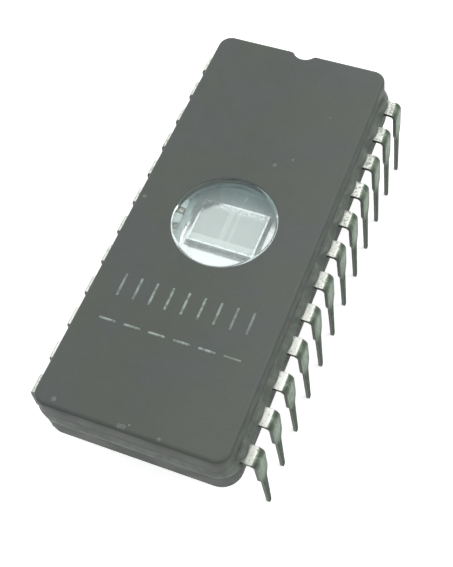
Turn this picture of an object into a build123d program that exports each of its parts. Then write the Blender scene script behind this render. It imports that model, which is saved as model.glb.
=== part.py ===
from build123d import *

import os
from math import copysign, sqrt

# A windowed ceramic dual in-line memory chip, in millimetres.
# The origin lies on the surface that the lead tips rest on, under the middle of the body.
# +Y runs along the body towards the index notch, +X towards the row of leads 13 to 24,
# and +Z up through the window. Lead 1 is beside the notch in the -X row.

# Body outline at the seal line. Its width is the cavity and the land on either side of it.
# The lid is a little smaller than the base, and was fired off centre.
body_length = 31.85
land_width = 3.125
lid_side_step = 0.2
lid_end_step = 0.15
lid_shift = -0.22
lid_corner = 1.0
base_corner = 1.5

# Heights, counted from the middle of the flat lead shoulders
lead_plane = 6.8
seal_below = 0.28
seal_above = 0.28
base_thickness = 1.94
lid_thickness = 1.45

# Pressing draft and edge breaks
lid_draft = 2.5
base_draft = 4.5
lid_edge = 0.2
base_edge = 0.18
seal_bead = 0.05

# Index notch in the end wall
notch_radius = 1.0
notch_depth = 0.55
notch_lip = 0.3
lip_share = 0.3

# Window bore and its lens
window_diameter = 7.1
window_rim = 0.08
lens_top_crown = 0.06
lens_bottom_crown = 0.04

# Die cavity in the base, and the recess above it in the lid
cavity_length = 7.7
cavity_width = 7.0
cavity_depth = 0.53
cavity_corner = 0.5
bond_ledge = 0.75
lid_recess = 0.35

# Die and what it sits on
pad_thickness = 0.03
pad_clearance = 0.03
attach_thickness = 0.05
attach_fillet = 0.15
die_length = 3.4
die_width = 4.7
die_thickness = 0.42
die_shift_x = -0.32
die_shift_y = 0.6

# Leads
leads_per_side = 12
leads_to_side = 3
half_step = 0.5
lead_pitch = 2.54
lead_thickness = 0.25
lead_wide = 1.3
knee_width = 1.22
lead_narrow = 0.56
tip_width = 0.34
shoulder_reach = 0.38
bend_inside = 0.3
lead_splay = 2.3
bend_drop = 0.7
wide_drop = 2.15
taper_drop = 0.8
knee_radius = 0.8
tip_break = 0.06
tip_rise = 0.1
lead_embed = 0.85

# Inner fingers that fan in from the leads to the cavity
finger_width = 0.5
side_tip_pitch = 1.25
end_tip_pitch = 1.12
knee_share = 0.44
fan_share = 0.59

# Glass that wets each lead where it leaves the body
lobe_reach = 0.15
lobe_radius = 1.2
lobe_break = 0.16

# Bond wires and their flattened feet
wire_diameter = 0.04
wire_sides = 6
wire_rise = 0.22
rise_share = 0.15
fall_share = 0.35
foot_length = 0.14
foot_width = 0.09
foot_height = 0.03
pad_inset = 0.16
corner_pad_inset = 0.32
foot_inset = 0.3

# Heights of the faces that the pieces share
seal_bottom = lead_plane - seal_below
seal_top = lead_plane + seal_above
seal_height = seal_below + seal_above
lid_top = seal_top + lid_thickness
finger_top = lead_plane + lead_thickness / 2
cavity_floor = seal_bottom - cavity_depth
recess_roof = seal_top + lid_recess
body_width = cavity_width + 2 * land_width
lid_width = body_width - 2 * lid_side_step
lid_length = body_length - 2 * lid_end_step
finger_run = knee_share * (land_width - lead_embed)
fan_step = fan_share * lead_pitch
pad_margin = cavity_corner * (1 - sqrt(0.5)) + pad_clearance
lens_edge_top = lid_top - window_rim
die_bottom = cavity_floor + pad_thickness + attach_thickness
die_top = die_bottom + die_thickness
opening_length = cavity_length + 2 * bond_ledge
opening_width = cavity_width + 2 * bond_ledge
notch_centre = body_length / 2 + notch_radius - notch_depth
lobe_centre = body_width / 2 + lobe_reach - lobe_radius
lid_middle = Plane((lid_shift, 0, 0))

os.makedirs("parts", exist_ok=True)


def cut_notch(slab, across, start, height):
    """Cut the index notch through the +Y end of the slab being built, and round its lips."""
    with BuildSketch(Plane.XY.offset(start)) as notch:
        with Locations((across, notch_centre)):
            Circle(notch_radius)
    extrude(notch.sketch, amount=height, mode=Mode.SUBTRACT)
    upright = slab.edges().filter_by(lambda edge: edge.bounding_box().size.Z > lip_share * abs(height))
    lips = upright.filter_by(lambda edge: abs(edge.center().X - across) < notch_radius)
    outer_lips = lips.filter_by(lambda edge: edge.center().Y > body_length / 2 - notch_depth)
    fillet(outer_lips, radius=notch_lip)


def crown_radius(crown):
    """Radius of a lens face that rises by the crown from its edge to its middle."""
    return ((window_diameter / 2) ** 2 + crown**2) / (2 * crown)


def lead_place(row):
    """Y of a lead, counted from the notch end, row 0 to leads_per_side - 1."""
    return ((leads_per_side - 1) / 2 - row) * lead_pitch


def finger_tip(side, row):
    """Plan point where a finger ends at the cavity, and the unit step that points into it."""
    lead_y = lead_place(row)
    rank = round(abs(lead_y) / lead_pitch - half_step)
    end = copysign(1, lead_y)
    if rank < leads_to_side:
        return (side * cavity_width / 2, end * (rank + half_step) * side_tip_pitch), (-side, 0)
    from_middle = leads_per_side // 2 - rank - half_step
    return (side * from_middle * end_tip_pitch, end * cavity_length / 2), (0, -end)


def finger_route(side, row):
    """Plan points of a finger's middle line, from inside the lead's root to its tip."""
    lead_y = lead_place(row)
    rank = round(abs(lead_y) / lead_pitch - half_step)
    (tip_x, tip_y), (step_x, step_y) = finger_tip(side, row)
    root_x = side * (body_width / 2 - lead_embed)
    extra = max(0, rank - leads_to_side) * fan_step
    knee = (tip_x - step_x * finger_run, tip_y - step_y * (finger_run + extra))
    overlap = side * lead_thickness
    return [(root_x + overlap, lead_y), (root_x, lead_y), knee, (tip_x, tip_y)]


# Base: pressed ceramic slab with the die cavity in its upper face
with BuildPart() as base:
    with BuildSketch(Plane.XY.offset(seal_bottom)):
        RectangleRounded(body_width, body_length, base_corner)
    extrude(amount=-base_thickness, taper=base_draft)
    underside = base.faces().sort_by(Axis.Z)[0]
    chamfer(underside.edges(), length=base_edge)
    cut_notch(base, 0, seal_bottom, -base_thickness)
    with BuildSketch(Plane.XY.offset(seal_bottom)):
        RectangleRounded(cavity_width, cavity_length, cavity_corner)
    extrude(amount=-cavity_depth, mode=Mode.SUBTRACT)
base.part.label = "base"
export_step(base.part, "parts/base.step")

# Lid: pressed ceramic slab with the window bore and a recess over the bond wires
with BuildPart() as lid:
    with BuildSketch(lid_middle.offset(seal_top)):
        RectangleRounded(lid_width, lid_length, lid_corner)
    extrude(amount=lid_thickness, taper=lid_draft)
    top_face = lid.faces().sort_by(Axis.Z)[-1]
    chamfer(top_face.edges(), length=lid_edge)
    cut_notch(lid, lid_shift, seal_top, lid_thickness)
    with BuildSketch(lid_middle.offset(seal_top)):
        RectangleRounded(opening_width, opening_length, cavity_corner)
    extrude(amount=lid_recess, mode=Mode.SUBTRACT)
    with BuildSketch(lid_middle.offset(recess_roof)):
        Circle(window_diameter / 2)
    extrude(amount=lid_thickness, mode=Mode.SUBTRACT)
    rim = lid.edges().filter_by(GeomType.CIRCLE).group_by(Axis.Z)[-1].sort_by(SortBy.LENGTH)[-1]
    chamfer(rim, length=window_rim)
lid.part.label = "lid"
export_step(lid.part, "parts/lid.step")

# Window lens: clear disc fused into the bore, slightly crowned on both faces
with BuildPart() as window_lens:
    with BuildSketch(lid_middle.offset(recess_roof - lens_bottom_crown)):
        Circle(window_diameter / 2)
    extrude(amount=lens_edge_top + lens_top_crown - recess_roof + lens_bottom_crown)
    top_radius = crown_radius(lens_top_crown)
    with Locations((lid_shift, 0, lens_edge_top + lens_top_crown - top_radius)):
        Sphere(top_radius, mode=Mode.INTERSECT)
    bottom_radius = crown_radius(lens_bottom_crown)
    with Locations((lid_shift, 0, recess_roof - lens_bottom_crown + bottom_radius)):
        Sphere(bottom_radius, mode=Mode.INTERSECT)
window_lens.part.label = "window_lens"
export_step(window_lens.part, "parts/window_lens.step")

# Leads: a strip bent over a small radius, trimmed to a wide shoulder and a narrow tip,
# with its own finger that fans in between the two ceramic halves to the cavity
leads = []
for side, first_number, number_step in ((-1, 1, 1), (1, 2 * leads_per_side, -1)):
    for row in range(leads_per_side):
        lead_y = lead_place(row)
        side_plane = Plane(origin=(0, lead_y, 0), x_dir=(side, 0, 0), z_dir=(0, -side, 0))
        front_plane = Plane(origin=(0, lead_y, 0), x_dir=(0, side, 0), z_dir=(side, 0, 0))
        root = body_width / 2 - lead_embed
        bend_middle = bend_inside + lead_thickness / 2
        splay_run = Vector(0, -1, 0).rotate(Axis.Z, lead_splay)
        corner = (body_width / 2 + shoulder_reach + bend_middle, lead_plane)
        leg_end = Vector(*corner) + splay_run * (lead_plane + lead_thickness)
        with BuildPart() as lead:
            with BuildLine(side_plane) as bend_line:
                FilletPolyline((root, lead_plane), corner, (leg_end.X, leg_end.Y), radius=bend_middle)
            with BuildSketch(Plane(origin=bend_line.line @ 0, x_dir=(0, 1, 0), z_dir=(side, 0, 0))):
                Rectangle(lead_wide, lead_thickness)
            sweep(path=bend_line.line)
            with BuildSketch(front_plane) as leg_front:
                with BuildLine():
                    Polyline(
                        (lead_wide / 2, lead_plane + lead_thickness),
                        (lead_wide / 2, lead_plane - bend_drop),
                        (knee_width / 2, lead_plane - wide_drop),
                        (lead_narrow / 2, lead_plane - wide_drop - taper_drop),
                        (tip_width / 2, 0),
                        (-tip_width / 2, 0),
                        (-lead_narrow / 2, lead_plane - wide_drop - taper_drop),
                        (-knee_width / 2, lead_plane - wide_drop),
                        (-lead_wide / 2, lead_plane - bend_drop),
                        (-lead_wide / 2, lead_plane + lead_thickness),
                        close=True,
                    )
                make_face()
                heights = leg_front.vertices().group_by(Axis.Y)
                fillet(heights[1] + heights[2], radius=knee_radius)
                chamfer(leg_front.vertices().group_by(Axis.Y)[0], length=tip_break, length2=tip_rise)
            extrude(amount=body_width, mode=Mode.INTERSECT)
            with BuildSketch(Plane.XY.offset(lead_plane - lead_thickness / 2)):
                with BuildLine():
                    Polyline(*finger_route(side, row))
                trace(line_width=finger_width)
            extrude(amount=lead_thickness)
        number = first_number + number_step * row
        lead.part.label = f"lead_{number:02d}"
        leads.append((number, side, row, lead.part))
        export_step(lead.part, f"parts/{lead.part.label}.step")

# Seal glass: fired between the halves and around every lead, with a lobe where each
# lead comes out and a ledge around the cavity that leaves the finger tips bare
with BuildPart() as seal_glass:
    with BuildSketch(Plane.XY.offset(seal_bottom)):
        with GridLocations(2 * lobe_centre, lead_pitch, 2, leads_per_side):
            Circle(lobe_radius)
    extrude(amount=seal_height)
    chamfer(seal_glass.edges().group_by(Axis.Z)[-1], length=lobe_break)
    with BuildSketch(Plane.XY.offset(seal_bottom)):
        RectangleRounded(body_width + 2 * seal_bead, body_length + 2 * seal_bead, base_corner)
    extrude(amount=finger_top - seal_bottom)
    with BuildSketch(lid_middle.offset(finger_top)):
        RectangleRounded(lid_width + 2 * seal_bead, lid_length + 2 * seal_bead, lid_corner)
    extrude(amount=seal_top - finger_top)
    cut_notch(seal_glass, lid_shift / 2, seal_bottom, seal_height)
    with BuildSketch(Plane.XY.offset(seal_bottom)):
        RectangleRounded(cavity_width, cavity_length, cavity_corner)
    extrude(amount=seal_height, mode=Mode.SUBTRACT)
    with BuildSketch(lid_middle.offset(finger_top)):
        RectangleRounded(opening_width, opening_length, cavity_corner)
    extrude(amount=seal_above, mode=Mode.SUBTRACT)
    add([lead_solid for number, side, row, lead_solid in leads], mode=Mode.SUBTRACT)
seal_glass.part.label = "seal_glass"
export_step(seal_glass.part, "parts/seal_glass.step")

# Metal pad fired on the cavity floor
with BuildPart() as cavity_metal:
    with BuildSketch(Plane.XY.offset(cavity_floor)):
        Rectangle(cavity_width - 2 * pad_margin, cavity_length - 2 * pad_margin)
    extrude(amount=pad_thickness)
cavity_metal.part.label = "cavity_metal"
export_step(cavity_metal.part, "parts/cavity_metal.step")

# Die attach: the film that holds the die, with its small fillet all round
with BuildPart() as die_attach:
    with BuildSketch(Plane.XY.offset(die_bottom - attach_thickness)):
        with Locations((die_shift_x, die_shift_y)):
            Rectangle(die_width + 2 * attach_fillet, die_length + 2 * attach_fillet)
    extrude(amount=attach_thickness)
die_attach.part.label = "die_attach"
export_step(die_attach.part, "parts/die_attach.step")

# Die: sawn silicon chip
with BuildPart() as die:
    with BuildSketch(Plane.XY.offset(die_bottom)):
        with Locations((die_shift_x, die_shift_y)):
            Rectangle(die_width, die_length)
    extrude(amount=die_thickness)
die.part.label = "die"
export_step(die.part, "parts/die.step")

# Bond wires: from a pad near the die's edge to the bare top of each finger
for number, side, row, lead_solid in leads:
    (tip_x, tip_y), (step_x, step_y) = finger_tip(side, row)
    finger_foot = Vector(tip_x - step_x * foot_inset, tip_y - step_y * foot_inset, finger_top)
    if step_x:
        spread = (die_length - 2 * corner_pad_inset) / (side_tip_pitch * (leads_per_side / 2 - 1))
        pad_x = die_shift_x - step_x * (die_width / 2 - pad_inset)
        pad_y = die_shift_y + tip_y * spread
    else:
        spread = (die_width - 2 * corner_pad_inset) / (end_tip_pitch * (leads_per_side / 2 - 1))
        pad_x = die_shift_x + tip_x * spread
        pad_y = die_shift_y - step_y * (die_length / 2 - pad_inset)
    die_foot = Vector(pad_x, pad_y, die_top)
    lift = Vector(0, 0, foot_height / 2 + wire_diameter / 4)
    loop_start = die_foot + lift
    loop_end = finger_foot + lift
    rise_end = loop_start + (loop_end - loop_start) * rise_share
    rise_end.Z = finger_top + wire_rise
    fall_start = loop_end + (loop_start - loop_end) * fall_share
    fall_start.Z = finger_top + wire_rise
    heading = Vector(finger_foot.X - die_foot.X, finger_foot.Y - die_foot.Y, 0)
    with BuildPart() as bond_wire:
        with BuildLine() as loop:
            Polyline(loop_start, rise_end, fall_start, loop_end)
        with BuildSketch(Plane(origin=loop.line @ 0, z_dir=loop.line % 0)):
            RegularPolygon(wire_diameter / 2, wire_sides)
        sweep(path=loop.line, transition=Transition.RIGHT)
        for foot in (die_foot, finger_foot):
            with BuildSketch(Plane(origin=foot, x_dir=heading, z_dir=(0, 0, 1))):
                Rectangle(foot_length, foot_width)
            extrude(amount=foot_height)
    bond_wire.part.label = f"bond_wire_{number:02d}"
    export_step(bond_wire.part, f"parts/{bond_wire.part.label}.step")
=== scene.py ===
"""Looks of a windowed ceramic memory chip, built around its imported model.

The frame's axes hold throughout. +Y runs along the body towards the index notch, and is called
north here. +X points to the row of leads 13 to 24, and is called east. +Z runs up through the
window, and the lead tips stand on z = 0. The classes state sizes in millimetres, and each
finished mesh is brought to metres once.
"""

import logging
import math
from dataclasses import dataclass
from enum import Enum
from typing import Any, Iterable, Sequence

import bmesh
import bpy
from mathutils import Matrix, Vector

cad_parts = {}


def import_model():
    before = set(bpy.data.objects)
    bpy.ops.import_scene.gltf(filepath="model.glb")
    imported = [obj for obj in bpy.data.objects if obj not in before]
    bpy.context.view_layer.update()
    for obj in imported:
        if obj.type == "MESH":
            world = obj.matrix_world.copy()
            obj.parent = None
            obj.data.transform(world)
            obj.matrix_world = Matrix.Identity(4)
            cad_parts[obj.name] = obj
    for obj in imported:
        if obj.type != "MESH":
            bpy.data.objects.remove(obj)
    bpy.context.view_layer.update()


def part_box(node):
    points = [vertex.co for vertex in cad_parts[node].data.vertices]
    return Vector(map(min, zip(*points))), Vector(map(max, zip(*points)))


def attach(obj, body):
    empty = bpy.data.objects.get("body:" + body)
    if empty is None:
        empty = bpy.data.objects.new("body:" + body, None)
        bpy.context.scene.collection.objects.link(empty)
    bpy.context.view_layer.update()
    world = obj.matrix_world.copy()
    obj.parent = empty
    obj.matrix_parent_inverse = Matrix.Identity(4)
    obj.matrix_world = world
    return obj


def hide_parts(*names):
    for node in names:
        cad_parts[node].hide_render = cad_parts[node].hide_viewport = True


MM = 0.001
EAST = Vector((1, 0, 0))
NORTH = Vector((0, 1, 0))
UP = Vector((0, 0, 1))
# Points nearer than WELD are one, and the flattest lobe rises by HAIR, in millimetres.
WELD = 1e-4
HAIR = 0.01

Colour = tuple[float, float, float, float]
Material = bpy.types.Material
Mesh = bmesh.types.BMesh
Ring = list[bmesh.types.BMEdge]
Socket = bpy.types.NodeSocket

log = logging.getLogger("chip")


def tone(red: int, green: int, blue: int) -> Colour:
    """Turn a screen colour into the linear colour that shaders take.

    Args:
        red: Red step, 0 to 255.
        green: Green step, 0 to 255.
        blue: Blue step, 0 to 255.

    Returns:
        The linear colour, fully opaque.
    """
    steps = [step / 255 for step in (red, green, blue)]
    linear = [s / 12.92 if s <= 0.04045 else ((s + 0.055) / 1.055) ** 2.4 for s in steps]
    return (linear[0], linear[1], linear[2], 1.0)


def box(node: str) -> tuple[Vector, Vector]:
    """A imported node's lowest and highest corner, in millimetres."""
    low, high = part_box(node)
    return low / MM, high / MM


def middle_of(node: str) -> Vector:
    """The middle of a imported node's box, in millimetres."""
    low, high = box(node)
    return (low + high) / 2


def arc_radius(half: float, rise: float) -> float:
    """Radius of the arc that spans twice a half width and rises in its middle."""
    return (half**2 + rise**2) / (2 * rise)


def quarter_turn(steps: int) -> list[tuple[float, float]]:
    """Sine and cosine of the angles that part a quarter turn into equal steps."""
    turns = [math.pi / 2 * step / steps for step in range(steps + 1)]
    return [(math.sin(turn), math.cos(turn)) for turn in turns]


def link_object(name: str, data: bpy.types.ID) -> bpy.types.Object:
    """Put a new object into the scene.

    Args:
        name: The object's name.
        data: Its mesh, light or camera.

    Returns:
        The object.
    """
    made = bpy.data.objects.new(name, data)
    bpy.context.scene.collection.objects.link(made)
    return made


class Nodes:
    """A node tree that starts empty, with short methods for the nodes that trees share."""

    def __init__(self, owner: bpy.types.Material | bpy.types.World) -> None:
        """Empty the tree.

        Args:
            owner: The material or world that holds the tree.
        """
        owner.use_nodes = True
        self.tree = owner.node_tree
        self.tree.nodes.clear()

    def node(self, kind: str, inputs: dict[str | int, Any] | None = None) -> bpy.types.Node:
        """Add a node and set or link its inputs.

        Args:
            kind: The node's Blender type.
            inputs: Values or sockets, by the input's name or number.

        Returns:
            The new node.
        """
        made = self.tree.nodes.new(kind)
        for key, value in (inputs or {}).items():
            self.feed(made.inputs[key], value)
        return made

    def feed(self, target: Socket, value: Any) -> None:
        """Link a socket to an input, or set the input's own value.

        Args:
            target: The input to feed.
            value: A socket to link, or a constant.
        """
        if isinstance(value, bpy.types.NodeSocket):
            self.tree.links.new(value, target)
        else:
            target.default_value = value

    def ramp(self, value: Any, low: float, high: float, start: float = 0.0, end: float = 1.0) -> Socket:
        """Ease a value from start to end as it goes from low to high.

        Args:
            value: The number to read.
            low: Where the easing begins.
            high: Where it ends.
            start: Result at low.
            end: Result at high.

        Returns:
            The eased value.
        """
        inputs = {"Value": value, "From Min": low, "From Max": high, "To Min": start, "To Max": end}
        made = self.node("ShaderNodeMapRange", inputs)
        made.interpolation_type = "SMOOTHSTEP"
        return made.outputs["Result"]


class Shading(Nodes):
    """One material's node tree, with the patterns that the finishes share."""

    def __init__(self, name: str) -> None:
        """Start an empty material.

        Args:
            name: The material's name.
        """
        self.material = bpy.data.materials.new(name)
        super().__init__(self.material)
        self.place = self.node("ShaderNodeTexCoord").outputs["Object"]

    def maths(self, kind: str, first: Any, second: Any = 0.0, clamp: bool = False) -> Socket:
        """Combine two numbers.

        Args:
            kind: The math operation's name.
            first: First number or socket.
            second: Second number or socket.
            clamp: Whether the result stays within 0 and 1.

        Returns:
            The result.
        """
        made = self.node("ShaderNodeMath", {0: first, 1: second})
        made.operation = kind
        made.use_clamp = clamp
        return made.outputs[0]

    def times(self, first: Any, second: Any) -> Socket:
        """One number times another."""
        return self.maths("MULTIPLY", first, second)

    def span(self, axis: Socket, low: float, high: float, start: float = 0.0, end: float = 1.0) -> Socket:
        """Ease from start to end along an axis, between two places in millimetres."""
        return self.ramp(axis, low * MM, high * MM, start, end)

    def within(self, axis: Socket, low: float, high: float, edge: float) -> Socket:
        """1 in a band across an axis and 0 outside, with soft edges, all in millimetres."""
        rise, fall = self.span(axis, low - edge, low), self.span(axis, high, high + edge, 1.0, 0.0)
        return self.times(rise, fall)

    def noise(self, feature: float, detail: float = 2.0, stretch: Sequence[float] = (1, 1, 1)) -> Socket:
        """Cloudy noise on the piece's own coordinates.

        Args:
            feature: Size of one patch, in millimetres.
            detail: Number of finer layers.
            stretch: How much longer a patch is along each axis.

        Returns:
            Noise from 0 to 1.
        """
        scale = [1 / (feature * MM * length) for length in stretch]
        mapping = self.node("ShaderNodeMapping", {"Vector": self.place, "Scale": scale})
        inputs = {"Vector": mapping.outputs[0], "Scale": 1.0, "Detail": detail, "Roughness": 0.55}
        return self.node("ShaderNodeTexNoise", inputs).outputs[0]

    def clouds(self, feature: float, detail: float = 2.0, start: float = 0.0, end: float = 1.0,
               low: float = 0.3, high: float = 0.7) -> Socket:
        """Patches of noise, eased from start to end between two levels of the noise."""
        return self.ramp(self.noise(feature, detail), low, high, start, end)

    def cells(self, pitch: float) -> Socket:
        """Distance to points that are scattered by a pitch in millimetres, in shares of it."""
        inputs = {"Vector": self.place, "Scale": 1 / (pitch * MM)}
        return self.node("ShaderNodeTexVoronoi", inputs).outputs["Distance"]

    def axes(self) -> tuple[Socket, Socket, Socket]:
        """The piece's own x, y and z in metres."""
        split = self.node("ShaderNodeSeparateXYZ", {0: self.place})
        return split.outputs[0], split.outputs[1], split.outputs[2]

    def spot(self, x: float, y: float, radius: float) -> Socket:
        """Mask of a small round spot seen from above.

        Args:
            x: The spot's middle, in millimetres.
            y: The spot's middle, in millimetres.
            radius: The spot's radius, in millimetres.

        Returns:
            1 in the spot and 0 outside.
        """
        flat = self.node("ShaderNodeVectorMath", {0: self.place, 1: (1, 1, 0)})
        flat.operation = "MULTIPLY"
        away = self.node("ShaderNodeVectorMath", {0: flat.outputs[0], 1: (x * MM, y * MM, 0)})
        away.operation = "DISTANCE"
        return self.span(away.outputs["Value"], radius * 0.4, radius, 1.0, 0.0)

    def blend(self, share: Any, first: Any, second: Any) -> Socket:
        """Mix two colours.

        Args:
            share: How much of the second colour.
            first: First colour.
            second: Second colour.

        Returns:
            The mixed colour.
        """
        made = self.tree.nodes.new("ShaderNodeMix")
        made.data_type = "RGBA"
        for number, value in ((0, share), (6, first), (7, second)):
            self.feed(made.inputs[number], value)
        return made.outputs[2]

    def bump(self, height: Any, depth: float, under: Any = None) -> Socket:
        """Tilt the surface by a height pattern.

        Args:
            height: Pattern from 0 to 1.
            depth: Real depth of the pattern, in millimetres.
            under: Normal of a coarser bump below, if any.

        Returns:
            The tilted normal.
        """
        inputs = {"Strength": 1.0, "Distance": depth * MM, "Height": height}
        if under is not None:
            inputs["Normal"] = under
        return self.node("ShaderNodeBump", inputs).outputs[0]

    def surface(self, colour: Any, rough: Any, **more: Any) -> Socket:
        """Add the shader that covers most pieces.

        Args:
            colour: Base colour.
            rough: Roughness.
            more: Further inputs, named with underscores for spaces.

        Returns:
            The shader.
        """
        inputs = {"Base Color": colour, "Roughness": rough}
        inputs.update({key.replace("_", " "): value for key, value in more.items()})
        return self.node("ShaderNodeBsdfPrincipled", inputs).outputs[0]

    def either(self, share: Socket, first: Socket, second: Socket) -> Socket:
        """Mix two shaders."""
        return self.node("ShaderNodeMixShader", {0: share, 1: first, 2: second}).outputs[0]

    def close(self, shader: Socket) -> Material:
        """Put the shader on the surface, which finishes the material."""
        self.node("ShaderNodeOutputMaterial", {"Surface": shader})
        return self.material


@dataclass(frozen=True)
class CeramicFinish:
    """Pressed and fired dark ceramic: faintly mottled, with a fine grain and a few pale specks.

    The walls get a painted shade, a dark band just below the given height, kept off the window bore; where
    there is no such shade the height stays out of reach.
    """

    name: str
    warm: Colour
    cool: Colour
    grain_tone: Colour = (0.045, 0.05, 0.046, 1)
    speck: Colour = tone(150, 156, 152)
    # Colour of the painted shade: a dark band down the walls just below the lid's top edge.
    edge: Colour = tone(62, 67, 61)
    shade_band_top: float = 100.0
    shade_band_depth: float = 0.95
    edge_shade_share: float = 0.75
    bore_middle: tuple[float, float] = (0.0, 0.0)
    shade_free_radius: float = 7.0
    patch_size: float = 3.4
    grain_size: float = 0.09
    speck_pitch: float = 2.6
    speck_radius: float = 0.022
    grain_depth: float = 0.006
    wave_size: float = 1.1
    wave_depth: float = 0.02
    shine: float = 0.3
    scuffs: tuple[tuple[float, float, float], ...] = ()
    # A paler tone, blended in more strongly towards the east side (+X).
    paler_east: Colour = tone(123, 129, 121)
    paler_from: float = -1.5
    paler_to: float = 6.5
    paler_share: float = 0.11

    def material(self) -> Material:
        """Build the material.

        Returns:
            The finished material.
        """
        s = Shading(self.name)
        across, _, height = s.axes()
        grain = s.noise(self.grain_size, 3)
        body = s.blend(s.clouds(self.patch_size, 3, low=0.35, high=0.68), self.warm, self.cool)
        # Paler towards the east side.
        east = s.span(across, self.paler_from, self.paler_to, 0.0, self.paler_share)
        paler_east = s.blend(east, body, self.paler_east)
        shaded = s.blend(s.ramp(grain, 0.3, 0.75, 0.0, 0.22), paler_east, self.grain_tone)
        # Painted shade: darken the walls in a band below the top edge, fading out at the very top and near
        # the window bore.
        below = s.span(height, self.shade_band_top - self.shade_band_depth, self.shade_band_top - 0.2)
        off_top = s.span(height, self.shade_band_top - 0.15, self.shade_band_top - 0.04, 1.0, 0.0)
        off_bore = s.ramp(s.spot(*self.bore_middle, self.shade_free_radius), 0.3, 0.7, self.edge_shade_share, 0.0)
        edge_shaded = s.blend(s.times(s.times(below, off_top), off_bore), shaded, self.edge)
        specks = s.ramp(s.cells(self.speck_pitch), self.speck_radius * 0.5, self.speck_radius, 1.0, 0.0)
        for x, y, radius in self.scuffs:
            scuff = s.times(s.spot(x, y, radius), s.ramp(grain, 0.35, 0.7, 0.0, 0.7))
            specks = s.maths("MAXIMUM", specks, scuff)
        colour = s.blend(specks, edge_shaded, self.speck)
        waves = s.bump(s.noise(self.wave_size), self.wave_depth)
        normal = s.bump(grain, self.grain_depth, waves)
        rough = s.clouds(self.patch_size * 0.4, 2, 0.5, 0.62)
        return s.close(s.surface(colour, rough, Normal=normal, Specular_IOR_Level=self.shine))


@dataclass(frozen=True)
class LiningFinish:
    """Glazed inside of the halves: dark in the bore, with painted light lifting the walls round the cavity
    and the bore's top, and painted shade darkening the cavity's back.
    """

    name: str = "bore_lining"
    bore: Colour = tone(78, 98, 93)
    # Tone round the cavity, made pale as painted light for walls that lie in shade.
    pale: Colour = tone(208, 222, 220)
    # Darker teal tone towards the cavity's back: painted shade.
    rear: Colour = tone(150, 203, 200)
    rear_shade_from: float = 0.5
    rear_shade_to: float = 3.6
    # Lighter band at the top of the bore wall: painted light over a shaded rim.
    lip: Colour = tone(156, 172, 165)
    lit_lip_from: float = 0.5
    lit_lip_to: float = 1.05
    bore_foot: float = 7.43

    def material(self) -> Material:
        """Build the material.

        Returns:
            The finished material.
        """
        s = Shading(self.name)
        _, along, height = s.axes()
        # Painted light on the bore's top and the cavity walls, and painted shade towards the back.
        up = s.span(height, self.bore_foot + 0.02, self.bore_foot + 0.2)
        lip = s.span(height, self.bore_foot + self.lit_lip_from, self.bore_foot + self.lit_lip_to)
        inner = s.blend(s.span(along, self.rear_shade_from, self.rear_shade_to), self.pale, self.rear)
        wall = s.blend(lip, self.bore, self.lip)
        colour = s.blend(s.clouds(0.6, 3, 0.0, 0.15), s.blend(up, inner, wall), self.bore)
        return s.close(s.surface(colour, 0.5, Normal=s.bump(s.noise(0.3), 0.01)))


@dataclass(frozen=True)
class SealGlassFinish:
    """Fired sealing glass: dark, glossy and slightly rippled."""

    name: str = "seal_glass_dark"
    deep: Colour = tone(78, 85, 77)
    pale: Colour = tone(95, 103, 94)
    patch_size: float = 0.8
    ripple_size: float = 0.5
    ripple_depth: float = 0.02

    def material(self) -> Material:
        """Build the material.

        Returns:
            The finished material.
        """
        s = Shading(self.name)
        colour = s.blend(s.clouds(self.patch_size, 3, low=0.35), self.deep, self.pale)
        ripple = s.bump(s.noise(self.ripple_size), self.ripple_depth)
        return s.close(s.surface(colour, s.clouds(0.25, 2, 0.42, 0.55), Normal=ripple))


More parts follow.
